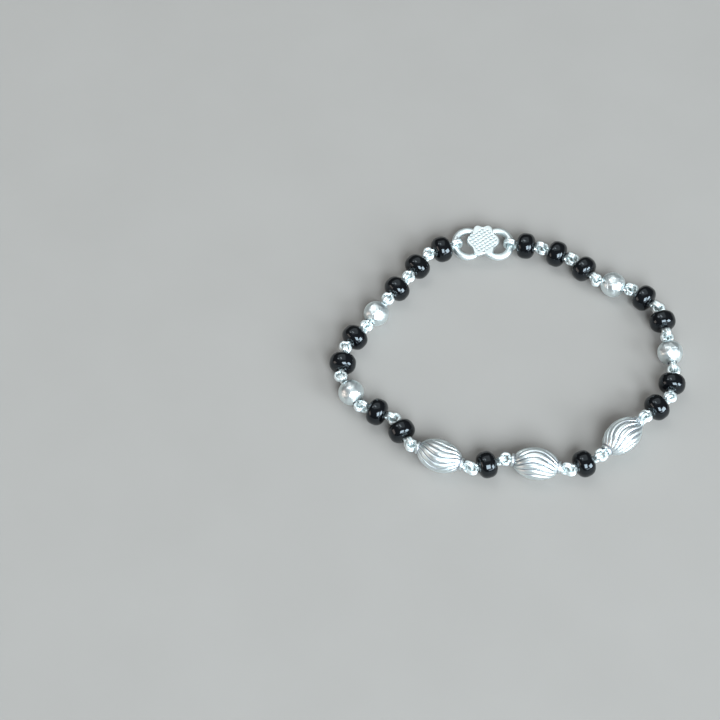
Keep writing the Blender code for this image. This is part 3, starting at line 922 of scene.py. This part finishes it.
# Its dark colour is painted shade under the plate and in the pits, and also tints the cloudy
# stains.
PLATE_SILVER = silver(
    "plate silver",
    polish=0.28,
    clouds=700.0,
    scratches=1000.0,
    relief=0.000016,
    dark=(0.50, 0.61, 0.63, 1.0),
)
for piece_name, clasp_mesh, finish in (
    ("clasp_hook", hook_mesh(), HOOK_SILVER),
    ("clasp_plate", plate_mesh(), PLATE_SILVER),
    ("clasp_solder", solder_mesh(loop_point(HOOK_TURN)), HOOK_SILVER),
):
    clasp_mesh.set_sharp_from_angle(angle=CLASP_SHARP_ANGLE)
    clasp_mesh.transform(CLASP_PLACE)
    add_piece(piece_name, clasp_mesh, finish, "clasp")


# Where it lies: a plain pale table, lit by a window of three panes at the front right, a soft
# ceiling with two lamps behind, and a little warm light from the left. The camera looks down at
# the ring.
TABLE_SIZE = 12.0
TABLE_GRAIN = 60.0
TABLE_GRAIN_HEIGHT = 0.00005
TABLE_ROUGHNESS = 0.75
TABLE_GLEAM = 0.2
TABLE_DARK = (0.262, 0.254, 0.240, 1.0)
TABLE_PALE = (0.286, 0.278, 0.264, 1.0)
DAYLIGHT = (0.86, 0.94, 1.0)
CEILING_LIGHT = (0.97, 1.0, 1.0)
LAMPLIGHT = (1.0, 1.0, 1.0)
WARM_LIGHT = (1.0, 0.80, 0.70)
# Each light: name, azimuth from the front to the right and elevation in degrees, distance, width
# and height in metres, radiance and colour.
LIGHTS = [
    ("window pane, near", 14, 43, 1.8, (1.00, 1.04), 16.5, DAYLIGHT),
    ("window pane, far", 58, 24, 1.8, (0.80, 0.92), 17.0, DAYLIGHT),
    ("window pane, low", 30, 14, 1.8, (0.88, 0.32), 4.5, DAYLIGHT),
    ("ceiling light", 195, 62, 1.1, (1.1, 1.1), 0.78, CEILING_LIGHT),
    ("ceiling lamp, near", 212, 66, 1.0, (0.16, 0.32), 5.0, LAMPLIGHT),
    ("ceiling lamp, far", 240, 48, 1.0, (0.20, 0.26), 3.5, LAMPLIGHT),
    ("warm room light", -75, 14, 0.9, (0.5, 0.3), 2.2, WARM_LIGHT),
]
ROOM_COLOUR = (0.92, 0.96, 1.0, 1.0)
ROOM_STRENGTH = (0.09, 0.22)
CAMERA_DISTANCE = 0.290
CAMERA_ELEVATION = math.radians(62)
CAMERA_TARGET = Vector((-0.02250, -0.00085, 0.0))
CAMERA_NEAR = 0.01
FRAME_PIXELS = 720
PIXEL_SIZE = 0.000155
SENSOR_WIDTH = 36.0


def table_material():
    """A matt pale surface with a faint grain."""
    material = bpy.data.materials.new("pale table")
    material.use_nodes = True
    tree = material.node_tree
    shader = tree.nodes["Principled BSDF"]
    place = put(tree, "ShaderNodeTexCoord").outputs["Object"]
    feeds = {"Vector": place, "Scale": TABLE_GRAIN, "Detail": 6.0}
    grain = put(tree, "ShaderNodeTexNoise", feeds).outputs[0]
    tint = blend(tree, grain, TABLE_DARK, TABLE_PALE)
    feeds = {"Height": grain, "Distance": TABLE_GRAIN_HEIGHT, "Strength": 0.2}
    bump = put(tree, "ShaderNodeBump", feeds)
    tree.links.new(tint, shader.inputs["Base Color"])
    tree.links.new(bump.outputs[0], shader.inputs["Normal"])
    shader.inputs["Roughness"].default_value = TABLE_ROUGHNESS
    shader.inputs["Specular IOR Level"].default_value = TABLE_GLEAM
    return material


table_mesh = bpy.data.meshes.new("table")
half = TABLE_SIZE / 2
table_corners = [(-half, -half, 0), (half, -half, 0), (half, half, 0), (-half, half, 0)]
table_mesh.from_pydata(table_corners, [], [(0, 1, 2, 3)])
table_mesh.materials.append(table_material())
table = bpy.data.objects.new("table", table_mesh)
bpy.context.scene.collection.objects.link(table)


def soft_light(name, azimuth, elevation, distance, size, radiance, colour):
    """A rectangular area light of this size that faces the ring."""
    light = bpy.data.lights.new(name, "AREA")
    light.shape = "RECTANGLE"
    light.size, light.size_y = size
    light.energy = radiance * math.pi * size[0] * size[1]
    light.color = colour
    around = math.radians(azimuth)
    rise = math.radians(elevation)
    towards = Vector(
        (math.sin(around) * math.cos(rise), -math.cos(around) * math.cos(rise), math.sin(rise))
    )
    lamp = bpy.data.objects.new(name, light)
    lamp.location = towards * distance
    lamp.rotation_euler = towards.to_track_quat("Z", "Y").to_euler()
    bpy.context.scene.collection.objects.link(lamp)


for light_row in LIGHTS:
    soft_light(*light_row)

world = bpy.data.worlds.new("room")
world.use_nodes = True
room = world.node_tree
place = put(room, "ShaderNodeTexCoord").outputs["Generated"]
height = put(room, "ShaderNodeSeparateXYZ", {0: place}).outputs["Z"]
strength = rescale(room, height, (0.0, 1.0), ROOM_STRENGTH)
room.links.new(strength, room.nodes["Background"].inputs["Strength"])
room.nodes["Background"].inputs["Color"].default_value = ROOM_COLOUR
bpy.context.scene.world = world

camera_data = bpy.data.cameras.new("camera")
camera_data.sensor_width = SENSOR_WIDTH
camera_data.lens = SENSOR_WIDTH * CAMERA_DISTANCE / (FRAME_PIXELS * PIXEL_SIZE)
camera_data.clip_start = CAMERA_NEAR
camera = bpy.data.objects.new("camera", camera_data)
towards_camera = Vector((0, -math.cos(CAMERA_ELEVATION), math.sin(CAMERA_ELEVATION)))
camera.location = CAMERA_TARGET + towards_camera * CAMERA_DISTANCE
camera.rotation_euler = (math.pi / 2 - CAMERA_ELEVATION, 0, 0)
bpy.context.scene.collection.objects.link(camera)
bpy.context.scene.camera = camera

bpy.context.scene.view_settings.view_transform = "Standard"
